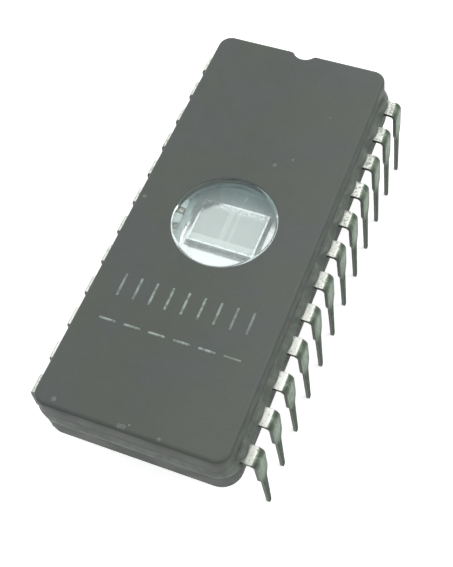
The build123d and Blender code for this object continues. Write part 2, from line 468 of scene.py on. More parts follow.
@dataclass(frozen=True)
class TinPlateFinish:
    """Tin plate: bright and mottled on the flat shoulders; down the legs streaked, and darker as painted
    shade for the dim surroundings that they reflect.
    """

    name: str = "tin_plate"
    bright: Colour = (0.86, 0.875, 0.81, 1)
    # Stain colour, also used for the painted shade at the shoulders' root.
    stain_and_root_shade: Colour = (0.26, 0.28, 0.235, 1)
    # Leg tone, darker than the shoulders as painted shade.
    shaded_leg: Colour = (0.085, 0.103, 0.08, 1)
    streak: Colour = (0.18, 0.217, 0.175, 1)
    foot: Colour = (0.03, 0.038, 0.031, 1)
    edge_tint: Colour = (0.9, 0.98, 0.9, 1)
    foot_tint: Colour = (0.55, 0.6, 0.55, 1)
    foot_from: float = 5.2
    foot_to: float = 3.6
    foot_share: float = 0.8
    # Span across the body over which the shoulders' root darkens: painted shade by the seal glass.
    root_shade_from: float = 6.66
    root_shade_to: float = 6.82
    front_end: float = -13.2
    front_from: float = -12.8
    stain_from: float = -13.0
    stain_to: float = 8.0
    west_wrap: float = 0.13
    bend_top: float = 6.923
    bend_foot: float = 6.872
    lead_pitch: float = 2.54

    def leg(self, s: Shading, along: Socket, lower: Socket) -> Socket:
        """Colour of the legs: a pale streak down the middle, and a darker foot.

        Args:
            s: The material's node tree.
            along: The coordinate along the body.
            lower: 1 at the foot and 0 at the bend.

        Returns:
            The colour.
        """
        turns = s.maths("DIVIDE", along, self.lead_pitch * MM)
        from_middle = s.maths("ABSOLUTE", s.maths("SUBTRACT", s.maths("FRACT", turns), 0.5))
        fibres = s.noise(0.16, 3, (1, 1, 9))
        wander = s.times(s.maths("SUBTRACT", s.noise(0.9, 2, (1, 1, 2.5)), 0.5), 0.22)
        middle = s.ramp(s.maths("ADD", from_middle, wander), 0.02, 0.17, 1.0, 0.0)
        streaks = s.maths("MULTIPLY", middle, s.ramp(fibres, 0.3, 0.7), clamp=True)
        upper = s.blend(streaks, self.shaded_leg, self.streak)
        return s.blend(s.times(lower, self.foot_share), upper, self.foot)

    def shoulder(self, s: Shading, across: Socket, along: Socket) -> Socket:
        """Colour of the shoulders: bright, with pits, stained at the front lead, and darkened at the root
        by painted shade where it meets the seal glass.

        Args:
            s: The material's node tree.
            across: The coordinate across the body.
            along: The coordinate along the body.

        Returns:
            The colour.
        """
        rear = s.span(along, self.stain_from, self.stain_to, 0.0, 0.1)
        front = s.span(along, self.front_end, self.front_from, 0.06, 0.0)
        pits = s.ramp(s.maths("ADD", s.noise(0.17, 3), s.maths("ADD", rear, front)), 0.59, 0.67)
        dull_end = s.span(along, self.front_end, self.front_from, 0.3, 0.0)
        tarnish = s.maths("ADD", s.clouds(1.9, 2, 0.0, 0.3, low=0.35), dull_end)
        # Painted shade at the root, where the shoulder meets the seal glass.
        root = s.span(s.maths("ABSOLUTE", across), self.root_shade_from, self.root_shade_to, 0.6, 0.0)
        worn = s.maths("MAXIMUM", s.times(pits, 0.8), s.maths("ADD", tarnish, root))
        return s.blend(worn, self.bright, self.stain_and_root_shade)

    def material(self) -> Material:
        """Build the material.

        Returns:
            The finished material.
        """
        s = Shading(self.name)
        across, along, height = s.axes()
        lower = s.span(height, self.foot_to, self.foot_from, 1.0, 0.0)
        wrapped = s.maths("ADD", height, s.span(across, -1, 1, self.west_wrap * MM, 0.0))
        # The shoulders keep the bright tone and the legs the darker one, painted shade, split at the bend.
        on_top = s.span(wrapped, self.bend_foot, self.bend_top)
        colour = s.blend(on_top, self.leg(s, along, lower), self.shoulder(s, across, along))
        lumps = s.bump(s.noise(0.35), 0.012)
        normal = s.bump(s.noise(0.07), 0.003, lumps)
        rough = s.clouds(0.3, 3, 0.3, 0.44)
        tint = s.blend(lower, self.edge_tint, self.foot_tint)
        return s.close(s.surface(colour, rough, Metallic=1.0, Normal=normal, Specular_Tint=tint))


@dataclass(frozen=True)
class MetalFinish:
    """Plain metal with a cloudy tint, used for sheared edges, paste and wires."""

    name: str
    light: Colour
    dark: Colour
    roughness: float
    patch_size: float = 0.3
    ripple_depth: float = 0.004

    def material(self) -> Material:
        """Build the material.

        Returns:
            The finished material.
        """
        s = Shading(self.name)
        cloud = s.noise(self.patch_size, 3)
        colour = s.blend(s.ramp(cloud, 0.3, 0.7), self.dark, self.light)
        normal = s.bump(s.noise(self.patch_size * 0.7), self.ripple_depth)
        rough = s.ramp(cloud, 0.3, 0.7, self.roughness * 0.8, self.roughness * 1.2)
        return s.close(s.surface(colour, rough, Metallic=1.0, Normal=normal))


@dataclass(frozen=True)
class PlatingFinish:
    """Bright plating of the cavity floor, smooth at the front and rougher towards the back, where it
    darkens to teal as painted shade.
    """

    name: str = "cavity_plating"
    bright: Colour = (0.97, 0.98, 0.975, 1)
    # Teal tone that the floor darkens to towards the back: painted shade.
    rear_shade_tone: Colour = (0.5, 0.72, 0.7, 1)
    rear_shade_start: float = 1.8
    rear_shade_end: float = 3.6
    smooth: float = 0.16
    rough: float = 0.55
    rough_from: float = 1.2
    rough_to: float = 3.2
    wander: float = 1.2
    metal: float = 0.9

    def material(self) -> Material:
        """Build the material.

        Returns:
            The finished material.
        """
        s = Shading(self.name)
        wander = s.times(s.maths("SUBTRACT", s.noise(0.8, 3), 0.5), self.wander * MM)
        along = s.maths("ADD", s.axes()[1], wander)
        # Painted shade: blend towards the darker teal tone at the back.
        colour = s.blend(s.span(along, self.rear_shade_start, self.rear_shade_end), self.bright, self.rear_shade_tone)
        rough = s.span(along, self.rough_from, self.rough_to, self.smooth, self.rough)
        normal = s.bump(s.noise(0.13, 3), 0.006)
        return s.close(s.surface(colour, rough, Metallic=self.metal, Normal=normal))


@dataclass(frozen=True)
class WindowGlassFinish:
    """Clear window glass that lets lamps through, so that the cavity below is lit."""

    name: str = "window_glass_clear"
    tint: Colour = (0.95, 0.985, 0.975, 1)
    clear: float = 0.97

    def material(self) -> Material:
        """Build the material.

        Returns:
            The finished material.
        """
        s = Shading(self.name)
        faint_wave = s.bump(s.noise(1.6, 1), 0.0015)
        glass = s.surface(self.tint, 0.0, IOR=1.5, Transmission_Weight=self.clear, Normal=faint_wave)
        clear = s.node("ShaderNodeBsdfTransparent", {"Color": self.tint}).outputs[0]
        lamp_ray = s.node("ShaderNodeLightPath").outputs["Is Shadow Ray"]
        return s.close(s.either(lamp_ray, glass, clear))


@dataclass(frozen=True)
class DieFinish:
    """Polished silicon with two memory halves, lighter strips between them and a bright rim."""

    name: str
    low: Vector
    high: Vector
    field: Colour = (0.50, 0.54, 0.52, 1)
    strip: Colour = (0.72, 0.77, 0.75, 1)
    rim: Colour = (0.95, 0.97, 0.97, 1)
    fleck: Colour = (0.76, 0.8, 0.81, 1)
    row: Colour = (0.2, 0.22, 0.21, 1)
    wall: Colour = (0.75, 0.79, 0.78, 1)
    strips: tuple[tuple[float, float], ...] = ((-0.64, -0.34), (0.02, 0.14))
    strip_share: float = 0.25
    south_band: float = 0.55
    south_share: float = 0.55
    north_from: float = 0.75
    north_to: float = 0.2
    rim_width: float = 0.13
    row_pitch: float = 0.05
    row_share: float = 0.12
    polish: float = 0.88

    def face(self, s: Shading, x: Socket, y: Socket) -> Socket:
        """Colour of the face inside the rim.

        Args:
            s: The material's node tree.
            x: The coordinate across the body.
            y: The coordinate along the body.

        Returns:
            The colour.
        """
        first, second = (s.within(x, *strip, 0.05) for strip in self.strips)
        lines = s.node("ShaderNodeTexWave", {"Vector": s.place, "Scale": 0.1 / (self.row_pitch * MM)})
        lines.bands_direction = "X"
        rows = s.ramp(lines.outputs["Fac"], 0.0, 1.0, 0.0, self.row_share)
        field = s.blend(rows, self.field, self.row)
        marked = s.blend(s.times(s.maths("MAXIMUM", first, second), self.strip_share), field, self.strip)
        band = s.within(y, self.low.y, self.low.y + self.south_band, 0.1)
        lined = s.blend(s.times(band, self.south_share), marked, self.strip)
        flecks = s.clouds(0.16, 3, 0.15, 1.0, low=0.36, high=0.6)
        northern = s.span(y, self.high.y - self.north_from, self.high.y - self.north_to)
        return s.blend(s.times(northern, flecks), lined, self.fleck)

    def material(self) -> Material:
        """Build the material.

        Returns:
            The finished material.
        """
        s = Shading(self.name)
        x, y, z = s.axes()
        inner_x = s.within(x, self.low.x + self.rim_width, self.high.x - self.rim_width, 0.02)
        inner_y = s.within(y, self.low.y + self.rim_width, self.high.y - self.rim_width, 0.02)
        rimmed = s.blend(s.times(inner_x, inner_y), self.rim, self.face(s, x, y))
        on_face = s.span(z, self.high.z - 0.02, self.high.z - 0.005)
        colour = s.blend(on_face, self.wall, rimmed)
        metal = s.ramp(on_face, 0.0, 1.0, 0.0, self.polish)
        return s.close(s.surface(colour, s.clouds(0.5, 2, 0.12, 0.2), Metallic=metal))


@dataclass(frozen=True)
class InkFinish:
    """Stamped ink, thin and uneven, that lets the ceramic show through where it is worn."""

    name: str = "stamped_ink"
    ink: Colour = tone(150, 164, 157)
    worn: Colour = tone(112, 118, 112)

    def material(self) -> Material:
        """Build the material.

        Returns:
            The finished material.
        """
        s = Shading(self.name)
        wear = s.clouds(0.45, 4, low=0.38, high=0.62)
        fade = s.clouds(5.0, 1, 0.25, 1.0, low=0.35, high=0.6)
        colour = s.blend(s.times(wear, fade), self.worn, self.ink)
        return s.close(s.surface(colour, 0.6, Normal=s.bump(s.noise(0.08), 0.004)))


@dataclass(frozen=True)
class PaperFinish:
    """White paper under the chip. Seen by the camera or in a reflection it is near white."""

    name: str = "white_paper"
    sheet: Colour = (0.82, 0.82, 0.82, 1)
    lift: float = 0.7

    def material(self) -> Material:
        """Build the material.

        Returns:
            The finished material.
        """
        s = Shading(self.name)
        inputs = {"Color": self.sheet, "Roughness": 1.0, "Normal": s.bump(s.noise(0.6, 3), 0.01)}
        paper = s.node("ShaderNodeBsdfDiffuse", inputs).outputs[0]
        glow = s.node("ShaderNodeEmission", {"Strength": self.lift}).outputs[0]
        lifted = s.node("ShaderNodeAddShader", {0: paper, 1: glow}).outputs[0]
        path = s.node("ShaderNodeLightPath")
        seen = s.maths("MAXIMUM", path.outputs["Is Camera Ray"], path.outputs["Is Glossy Ray"])
        looked_at = s.maths("MAXIMUM", seen, path.outputs["Is Transmission Ray"])
        return s.close(s.either(looked_at, paper, lifted))


class Pen:
    """Draws one closed loop of edges in a plane, by lines and arcs of a moving point."""

    def __init__(self, mesh: Mesh, start: Sequence[float], normal: Vector = UP) -> None:
        """Set the pen down.

        Args:
            mesh: The mesh to draw in.
            start: Where the loop begins.
            normal: Normal of the loop's plane, which arcs turn about.
        """
        self.mesh = mesh
        self.normal = normal
        self.verts = [bmesh.ops.create_vert(mesh, co=Vector(start))["vert"][0]]

    def line(self, target: Sequence[float]) -> None:
        """Draw a straight edge.

        Args:
            target: Where the edge ends.
        """
        made = bmesh.ops.extrude_vert_indiv(self.mesh, verts=[self.verts[-1]])["verts"]
        bmesh.ops.translate(self.mesh, vec=Vector(target) - made[0].co, verts=made)
        self.verts.append(made[0])

    def arc(self, centre: Sequence[float], degrees: float, steps: int) -> None:
        """Draw an arc about a centre.

        Args:
            centre: The arc's centre.
            degrees: How far the arc turns, anticlockwise about the plane's normal.
            steps: Number of edges.
        """
        before = len(self.mesh.verts)
        bmesh.ops.spin(
            self.mesh, geom=[self.verts[-1]], cent=Vector(centre), axis=self.normal,
            dvec=Vector(), angle=math.radians(degrees), steps=steps,
            use_merge=False, use_normal_flip=False, use_duplicate=False)
        self.mesh.verts.ensure_lookup_table()
        self.verts.extend(self.mesh.verts[before:])

    def corner(self, centre: Sequence[float], reach: Sequence[float], steps: int) -> None:
        """Draw a line to a centre plus a reach, and a quarter arc clockwise from there."""
        self.line(Vector(centre) + Vector(reach))
        self.arc(centre, -90, steps)

    def close(self) -> Ring:
        """Join the last point to the first.

        Returns:
            The loop's edges.
        """
        first, last = self.verts[0], self.verts[-1]
        if (last.co - first.co).length < WELD:
            bmesh.ops.pointmerge(self.mesh, verts=[first, last], merge_co=first.co)
            self.verts.pop()
        else:
            bmesh.ops.contextual_create(self.mesh, geom=[first, last])
        inside = set(self.verts)
        return [e for e in self.mesh.edges if e.verts[0] in inside and e.verts[1] in inside]


class Workpiece:
    """A mesh in the making, in millimetres, finished into one named piece in metres."""

    def __init__(self, name: str) -> None:
        """Start an empty mesh.

        Args:
            name: The finished piece's name.
        """
        self.name = name
        self.mesh = bmesh.new()

    def bridge(self, loops: Sequence[Ring]) -> None:
        """Join each loop of edges to the next by a band of faces."""
        for lower, upper in zip(loops, loops[1:]):
            bmesh.ops.bridge_loops(self.mesh, edges=lower + upper)

    def fill(self, *loops: Ring) -> None:
        """Fill the flat area that one loop bounds, or that lies between two."""
        edges = [edge for loop in loops for edge in loop]
        bmesh.ops.triangle_fill(self.mesh, use_beauty=True, use_dissolve=False, edges=edges)

    def extrude(self, ring: Ring, step: Sequence[float]) -> Ring:
        """Draw a ring of edges out into a band.

        Args:
            ring: The ring to start from.
            step: How far the new ring lies from it.

        Returns:
            The new ring.
        """
        made = bmesh.ops.extrude_edge_only(self.mesh, edges=ring)["geom"]
        verts = {g for g in made if isinstance(g, bmesh.types.BMVert)}
        bmesh.ops.translate(self.mesh, vec=Vector(step), verts=list(verts))
        edges = [g for g in made if isinstance(g, bmesh.types.BMEdge)]
        return [edge for edge in edges if edge.verts[0] in verts and edge.verts[1] in verts]

    def shift(self, x: float) -> None:
        """Move the whole mesh across the body."""
        bmesh.ops.translate(self.mesh, vec=Vector((x, 0, 0)), verts=self.mesh.verts[:])

    def coat(self, first_face: int) -> None:
        """Give the second material to the faces from a number on.

        Args:
            first_face: Number of the first such face.
        """
        self.mesh.faces.ensure_lookup_table()
        for face in self.mesh.faces[first_face:]:
            face.material_index = 1

    def finish(self, materials: Sequence[Material], replaces: Iterable[str] = (),
               even_normals: bool = True) -> None:
        """Close the mesh, bring it to metres and make it a piece of the object.

        Args:
            materials: Materials, in the order of the faces' material numbers.
            replaces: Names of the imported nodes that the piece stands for.
            even_normals: Whether large flat faces keep their own normals.
        """
        bmesh.ops.remove_doubles(self.mesh, verts=self.mesh.verts[:], dist=WELD)
        bmesh.ops.recalc_face_normals(self.mesh, faces=self.mesh.faces[:])
        bmesh.ops.scale(self.mesh, vec=Vector((MM, MM, MM)), verts=self.mesh.verts[:])
        for face in self.mesh.faces:
            face.smooth = True
        data = bpy.data.meshes.new(self.name)
        self.mesh.to_mesh(data)
        self.mesh.free()
        for material in materials:
            data.materials.append(material)
        piece = link_object(self.name, data)
        if even_normals:
            weighted = piece.modifiers.new("even_normals", "WEIGHTED_NORMAL")
            weighted.mode = "FACE_AREA"
            weighted.weight = 80
        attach(piece, "root")
        if replaces:
            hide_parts(*replaces)
        log.info("%s: %d faces", self.name, len(data.polygons))


def dress_node(name: str, material: Material) -> None:
    """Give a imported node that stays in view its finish.

    Args:
        name: The node's name.
        material: The finish.
    """
    data = bpy.data.objects[name].data
    data.materials.clear()
    data.materials.append(material)
    log.info("%s: dressed in %s", name, material.name)


@dataclass
class PressedOutline:
    """Plan outline of a pressed ceramic half: a rounded rectangle with the index notch in one end."""

    half_width: float
    half_length: float
    corner: float
    notch_radius: float = 0.87
    notch_y: float = 16.1
    lip: float = 0.3

    def draw(self, mesh: Mesh, height: float, draft: float, edge: float = 0.0) -> Ring:
        """Draw the outline at one height.

        Args:
            mesh: The mesh to draw in.
            height: Height of the outline.
            draft: How far the drafted walls have moved in here.
            edge: How much further the rounded edge has moved in, in the notch too.

        Returns:
            The outline's edges.
        """
        inset = draft + edge
        right, end = self.half_width - inset, self.half_length - inset
        corner = self.corner - inset
        notch = self.notch_radius + edge
        lip_y = end - self.lip
        lip_x = math.sqrt((notch + self.lip) ** 2 - (self.notch_y - lip_y) ** 2)
        lean = math.degrees(math.atan2(self.notch_y - lip_y, lip_x))
        pen = Pen(mesh, (lip_x, end, height))
        for away in (1, -1):
            x, y = away * (right - corner), away * (end - corner)
            pen.corner((x, y, height), (0, away * corner, 0), 12)
            self.side(pen, away * right, height)
            pen.corner((x, -y, height), (away * corner, 0, 0), 12)
        pen.line((-lip_x, end, height))
        pen.arc((-lip_x, lip_y, height), lean - 90, 6)
        pen.arc((0, self.notch_y, height), 180 - 2 * lean, 16)
        pen.arc((lip_x, lip_y, height), lean - 90, 6)
        return pen.close()

    def side(self, pen: Pen, x: float, height: float) -> None:
        """Draw what stands out of a long side. A plain outline has nothing there."""


@dataclass
class LobedOutline(PressedOutline):
    """Plan outline of the seal glass, which has crept out round each lead."""

    rows: Sequence[float] = ()
    lobe_half_width: float = 1.08
    east_reach: float = HAIR
    west_reach: float = HAIR

    def side(self, pen: Pen, x: float, height: float) -> None:
        """Draw the lobes of a long side.

        Args:
            pen: The pen, at the side's start.
            x: Where the side lies.
            height: Height of the outline.
        """
        away = math.copysign(1, x)
        reach = self.east_reach if away > 0 else self.west_reach
        straight_end = self.half_length - self.corner - HAIR
        for y in sorted(self.rows, key=lambda row: -away * row):
            halves = [min(self.lobe_half_width, straight_end - way * y) for way in (away, -away)]
            pen.line((x, y + away * halves[0], height))
            for half in halves:
                radius = arc_radius(half, reach)
                centre = (x + away * (reach - radius), y, height)
                pen.arc(centre, -math.degrees(math.asin(half / radius)), 6)


@dataclass
class CeramicBody:
    """The two pressed halves of the body, with the window bore, the recess and the die cavity."""

    lid_corner: float = 1.0
    base_corner: float = 1.5
    lid_draft: float = 2.5
    base_draft: float = 4.5
    top_round: float = 0.26
    foot_round: float = 0.2
    seam_round: float = 0.07
    round_steps: int = 7
    bore_radius: float = 3.55
    bore_steps: int = 128
    rim_round: float = 0.045
    recess_height: float = 0.35
    recess_width: float = 8.5
    recess_length: float = 9.2
    cavity_width: float = 7.0
    cavity_length: float = 7.7
    cavity_depth: float = 0.53
    pocket_corner: float = 0.5

    def pocket(self, mesh: Mesh, width: float, length: float, height: float, middle: float = 0.0) -> Ring:
        """Draw the rounded rectangle of a pocket.

        Args:
            mesh: The mesh to draw in.
            width: Size along X.
            length: Size along Y.
            height: Height of the outline.
            middle: Where the pocket's middle lies along X.

        Returns:
            The outline's edges.
        """
        r = self.pocket_corner
        x, y = width / 2 - r, length / 2 - r
        pen = Pen(mesh, (middle - x, y + r, height))
        for away in (1, -1):
            pen.corner((middle + away * x, away * y, height), (0, away * r, 0), 6)
            pen.corner((middle + away * x, -away * y, height), (away * r, 0, 0), 6)
        return pen.close()

    def circle(self, mesh: Mesh, radius: float, height: float) -> Ring:
        """Draw a ring of the window bore.

        Args:
            mesh: The mesh to draw in.
            radius: The ring's radius.
            height: The ring's height.

        Returns:
            The ring's edges.
        """
        place = Matrix.Translation((0, 0, height))
        made = bmesh.ops.create_circle(
            mesh, cap_ends=False, radius=radius, segments=self.bore_steps, matrix=place)
        inside = set(made["verts"])
        return [e for e in mesh.edges if e.verts[0] in inside]

    def outline(self, node: str, corner: float) -> PressedOutline:
        """Plan outline of one half at its seam, about its own middle."""
        low, high = box(node)
        return PressedOutline((high.x - low.x) / 2, (high.y - low.y) / 2, corner)

    def slab(self, mesh: Mesh, outline: PressedOutline, seam: float, far: float, draft: float,
             far_round: float) -> list[Ring]:
        """Draw the outer rings of a drafted slab, from its seam to its far face.

        Args:
            mesh: The mesh to draw in.
            outline: Outline of the slab at its seam.
            seam: Height of the face that the seal glass wets.
            far: Height of the opposite face.
            draft: Lean of the walls, in degrees.
            far_round: Radius of the edge round the far face.

        Returns:
            The rings, in order.
        """
        away = math.copysign(1, far - seam)
        slope, height = math.tan(math.radians(draft)), abs(far - seam)
        turns = quarter_turn(self.round_steps)
        stations = [(self.seam_round * (1 - cos), self.seam_round * (1 - sin)) for sin, cos in turns]
        stations += [(height - far_round * (1 - sin), far_round * (1 - cos)) for sin, cos in turns]
        return [outline.draw(mesh, seam + away * rise, slope * rise, edge) for rise, edge in stations]

    def build_lid(self, ceramic: Material, lining: Material) -> None:
        """Model the lid with its window bore and the recess over the bond wires.

        Args:
            ceramic: Finish of the outside.
            lining: Finish of the bore and the recess, which fired glass has wetted.
        """
        low, high = box("lid")
        seam, roof, top = low.z, low.z + self.recess_height, high.z
        work = Workpiece("lid_pressed")
        outline = self.outline("lid", self.lid_corner)
        rings = self.slab(work.mesh, outline, seam, top, self.lid_draft, self.top_round)
        work.bridge(rings)
        bore = []
        for sin, cos in quarter_turn(self.round_steps - 1):
            radius = self.bore_radius + self.rim_round * (1 - sin)
            bore.append(self.circle(work.mesh, radius, top - self.rim_round * (1 - cos)))
        work.fill(rings[-1], bore[0])
        work.bridge(bore)
        outside = len(work.mesh.faces)
        bore_foot = self.circle(work.mesh, self.bore_radius, roof)
        work.bridge([bore[-1], bore_foot])
        recess = [self.pocket(work.mesh, self.recess_width, self.recess_length, z) for z in (roof, seam)]
        work.fill(bore_foot, recess[0])
        work.bridge(recess)
        work.coat(outside)
        work.fill(recess[1], rings[0])
        work.shift(middle_of("lid").x)
        work.finish([ceramic, lining], ["lid"])

    def build_base(self, ceramic: Material, lining: Material) -> None:
        """Model the base with the die cavity in its upper face.

        Args:
            ceramic: Finish of the outside.
            lining: Finish of the cavity.
        """
        low, high = box("base")
        work = Workpiece("base_pressed")
        outline = self.outline("base", self.base_corner)
        rings = self.slab(work.mesh, outline, high.z, low.z, self.base_draft, self.foot_round)
        work.bridge(rings)
        work.fill(rings[-1])
        cavity = [self.pocket(work.mesh, self.cavity_width, self.cavity_length, z)
                  for z in (high.z, high.z - self.cavity_depth)]
        work.fill(rings[0], cavity[0])
        outside = len(work.mesh.faces)
        work.bridge(cavity)
        work.fill(cavity[1])
        work.coat(outside)
        work.finish([ceramic, lining], ["base"])


@dataclass
class Window:
    """The clear lens fused into the bore, slightly crowned on both faces."""

    radius: float = 3.565
    top_crown: float = 0.06
    bottom_crown: float = 0.04
    crown_steps: int = 16
    side_steps: int = 128

    def build(self, glass: Material) -> None:
        """Model the lens as a spun profile.

        Args:
            glass: The clear glass.
        """
        low, high = box("window_lens")
        work = Workpiece("window_lens_clear")
        upper, lower = arc_radius(self.radius, self.top_crown), arc_radius(self.radius, self.bottom_crown)
        pen = Pen(work.mesh, (0, 0, high.z), NORTH)
        pen.arc((0, 0, high.z - upper), math.degrees(math.asin(self.radius / upper)), self.crown_steps)
        pen.line((self.radius, 0, low.z + self.bottom_crown))
        pen.arc((0, 0, low.z + lower), math.degrees(math.asin(self.radius / lower)), self.crown_steps)
        bmesh.ops.spin(
            work.mesh, geom=work.mesh.verts[:] + work.mesh.edges[:], cent=Vector(), axis=UP,
            dvec=Vector(), angle=math.tau, steps=self.side_steps,
            use_merge=True, use_normal_flip=False, use_duplicate=False)
        work.shift(middle_of("window_lens").x)
        work.finish([glass], ["window_lens"])


@dataclass
class LeadFrame:
    """The two rows of leads: flat shoulders, tight bends, stepped legs and inner fingers."""

    body: CeramicBody
    per_side: int = 12
    pitch: float = 2.54
    plane: float = 6.8
    body_half_width: float = 6.625
    embed: float = 0.85
    wide: float = 1.3
    knee: float = 1.22
    narrow: float = 0.56
    tip: float = 0.34
    thickness: float = 0.25
    edge_round: float = 0.045
    corner_x: float = 7.43
    bend_radius: float = 0.425
    bend_steps: int = 10
    splay: float = 2.3
    bend_drop: float = 0.7
    wide_drop: float = 2.0
    narrow_drop: float = 3.1
    knee_steps: int = 12
    tip_start: float = 0.128
    tip_rounding: tuple[tuple[float, float], ...] = ((0.048, 0.03), (0.01, 0.05))
    finger_width: float = 0.5
    side_tip_pitch: float = 1.25
    end_tip_pitch: float = 1.12
    finger_run: float = 1.0
    fan_step: float = 1.5
    sharpest_turn: float = 0.3
    sheared_lean: float = 0.85

    def places(self) -> list[tuple[int, int, int]]:
        """Number, side (-1 west, 1 east) and row of each lead. Rows count from the notch end."""
        west = [(row + 1, -1, row) for row in range(self.per_side)]
        return west + [(2 * self.per_side - row, 1, row) for row in range(self.per_side)]

    def lead_y(self, row: int) -> float:
        """Y of a row, counted from the notch end."""
        return ((self.per_side - 1) / 2 - row) * self.pitch

    def rank(self, row: int) -> int:
        """Place of a row, counted from the middle of the body."""
        return round(abs(self.lead_y(row)) / self.pitch - 0.5)

    def finger_tip(self, side: int, row: int) -> tuple[Vector, Vector]:
        """Where a finger ends at the cavity.

        Args:
            side: -1 for the western row, 1 for the eastern.
            row: The row, counted from the notch end.

        Returns:
            The tip's plan point, and the unit step that points into the cavity.
        """
        end = math.copysign(1, self.lead_y(row))
        rank = self.rank(row)
        if rank < self.per_side // 4:
            y = end * (rank + 0.5) * self.side_tip_pitch
            return Vector((side * self.body.cavity_width / 2, y, 0)), Vector((-side, 0, 0))
        x = side * (self.per_side // 2 - rank - 0.5) * self.end_tip_pitch
        return Vector((x, end * self.body.cavity_length / 2, 0)), Vector((0, -end, 0))

    def section(self, mesh: Mesh, x: float) -> Ring:
        """Draw the rounded section of a lead across its run.

        Args:
            mesh: The mesh to draw in.
            x: Where the section stands.

        Returns:
            The section's edges.
        """
        r = self.edge_round
        y, z = self.wide / 2 - r, self.thickness / 2 - r
        pen = Pen(mesh, (x, -y, self.plane + z + r), EAST)
        for away in (1, -1):
            pen.corner((x, away * y, self.plane + away * z), (0, 0, away * r), 4)
            pen.corner((x, away * y, self.plane - away * z), (0, away * r, 0), 4)
        return pen.close()

    def stations(self) -> list[tuple[float, float]]:
        """Where the leg narrows on its way down.

        Returns:
            Heights, and how far each edge of the leg moves in at them.
        """
        stations = [(self.plane - self.bend_drop, 0.0),
                    (self.plane - self.wide_drop, (self.wide - self.knee) / 2)]
        for step in range(1, self.knee_steps + 1):
            before, now = (0.5 - 0.5 * math.cos(math.pi * s / self.knee_steps) for s in (step - 1, step))
            drop = self.wide_drop + step / self.knee_steps * (self.narrow_drop - self.wide_drop)
            stations.append((self.plane - drop, (now - before) * (self.knee - self.narrow) / 2))
        return stations + [(self.tip_start, (self.narrow - self.tip) / 2), *self.tip_rounding]

    def strip(self, work: Workpiece) -> None:
        """Draw the strip of one lead at y = 0 in the eastern row: shoulder, bend, leg and tip.

        Args:
            work: The workpiece to draw in.
        """
        root = self.body_half_width - self.embed
        turn, lean = math.radians(90 - self.splay), math.radians(self.splay)
        tangent = self.bend_radius * math.tan(turn / 2)
        bend_start = self.corner_x - tangent
        ring = self.section(work.mesh, root)
        work.fill(ring)
        ring = work.extrude(ring, (bend_start - root, 0, 0))
        verts = list({vert for edge in ring for vert in edge.verts})
        turned = bmesh.ops.spin(
            work.mesh, geom=verts + ring, cent=Vector((bend_start, 0, self.plane - self.bend_radius)),
            axis=NORTH, dvec=Vector(), angle=turn, steps=self.bend_steps,
            use_merge=False, use_normal_flip=False, use_duplicate=False)["geom_last"]
        ring = [g for g in turned if isinstance(g, bmesh.types.BMEdge)]
        down = Vector((math.sin(lean), 0, -math.cos(lean)))
        reached = (Vector((self.corner_x, 0, self.plane)) + down * tangent).z
        for level, inset in self.stations():
            ring = work.extrude(ring, down * ((reached - level) / math.cos(lean)))
            reached = level
            verts = {vert for edge in ring for vert in edge.verts}
            for sign in (-1, 1):
                half = [vert for vert in verts if vert.co.y * sign > 0]
                bmesh.ops.translate(work.mesh, vec=NORTH * (-sign * inset), verts=half)
        work.fill(ring)

    def finger(self, work: Workpiece, side: int, row: int) -> None:
        """Draw the finger that fans in from a lead's root to the cavity.

        Args:
            work: The workpiece to draw in.
            side: -1 for the western row, 1 for the eastern.
            row: The row, counted from the notch end.
        """
        tip, inward = self.finger_tip(side, row)
        root = Vector((side * (self.body_half_width - self.embed), self.lead_y(row), 0))
        extra = max(0, self.rank(row) - self.per_side // 4) * self.fan_step
        knee = tip - inward * (self.finger_run + extra)
        route = [root + EAST * side * self.thickness, root, knee, tip]
        top = UP * (self.plane + self.thickness / 2)
        runs = [(b - a).normalized() for a, b in zip(route, route[1:])]
        bars = []
        for place, point in enumerate(route):
            before, after = runs[max(place - 1, 0)], runs[min(place, len(runs) - 1)]
            across = (before + after).normalized().cross(UP)
            reach = self.finger_width / 2 / max(self.sharpest_turn, across.dot(before.cross(UP)))
            pair = [bmesh.ops.create_vert(work.mesh, co=point + top + across * reach * sign)["vert"][0]
                    for sign in (-1, 1)]
            bars.append(bmesh.ops.contextual_create(work.mesh, geom=pair)["edges"])
        strip = []
        for first, second in zip(bars, bars[1:]):
            strip += bmesh.ops.bridge_loops(work.mesh, edges=first + second)["faces"]
        sunk = bmesh.ops.extrude_face_region(work.mesh, geom=strip, use_keep_orig=True)["geom"]
        verts = [g for g in sunk if isinstance(g, bmesh.types.BMVert)]
        bmesh.ops.translate(work.mesh, vec=UP * -self.thickness, verts=verts)

    def build(self, plate: Material, sheared: Material) -> None:
        """Model every lead in its place.

        Args:
            plate: Finish of the broad faces.
            sheared: Finish of the cut edges.
        """
        for number, side, row in self.places():
            work = Workpiece(f"plated_lead_{number:02d}")
            self.strip(work)
            bmesh.ops.recalc_face_normals(work.mesh, faces=work.mesh.faces[:])
            for face in work.mesh.faces:
                if abs(face.normal.y) > self.sheared_lean:
                    face.material_index = 1
            turn = Matrix.Rotation(0 if side > 0 else math.pi, 4, "Z")
            place = Matrix.Translation((0, self.lead_y(row), 0)) @ turn
            bmesh.ops.transform(work.mesh, matrix=place, verts=work.mesh.verts[:])
            self.finger(work, side, row)
            work.finish([plate, sheared], [f"lead_{number:02d}"])


